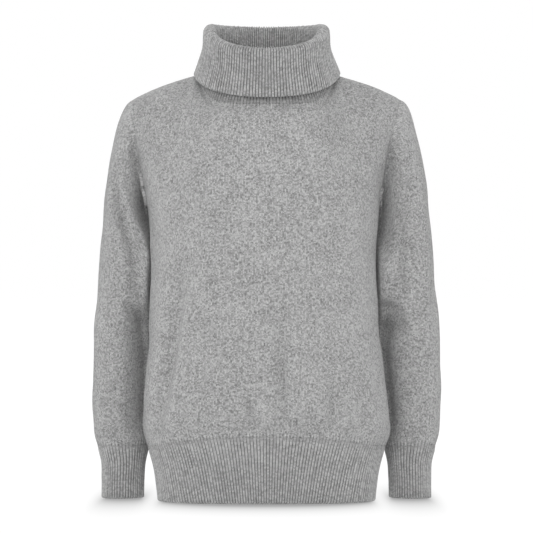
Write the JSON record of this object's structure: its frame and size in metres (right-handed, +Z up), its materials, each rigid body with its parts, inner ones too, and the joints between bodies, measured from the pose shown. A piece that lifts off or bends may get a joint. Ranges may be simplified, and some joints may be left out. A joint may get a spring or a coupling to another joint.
{
  "type": "turtleneck sweater",
  "caption": "Long-sleeved pullover with a high folded turtleneck collar, ribbed cuffs and a ribbed hem, filled out as if worn.",
  "frame": {"origin": "midway between the two shoulder neck points, on the line where the sweater hangs from its wearer's shoulders", "axes": "+Z up along the wearer, +X to the wearer's left, -Y to the wearer's front"},
  "size_m": [0.5279, 0.2424, 0.7226],
  "materials": {
    "jersey": "matt fulled wool, heather grey",
    "rib": "matt ribbed wool, heather grey"
  },
  "bodies": {
    "root": {"front_panel": "jersey", "back_panel": "jersey", "left_sleeve": "jersey", "right_sleeve": "jersey", "left_cuff": "rib", "right_cuff": "rib", "hem_rib_front": "rib", "hem_rib_back": "rib", "collar": "rib"}
  },
  "joints": []
}
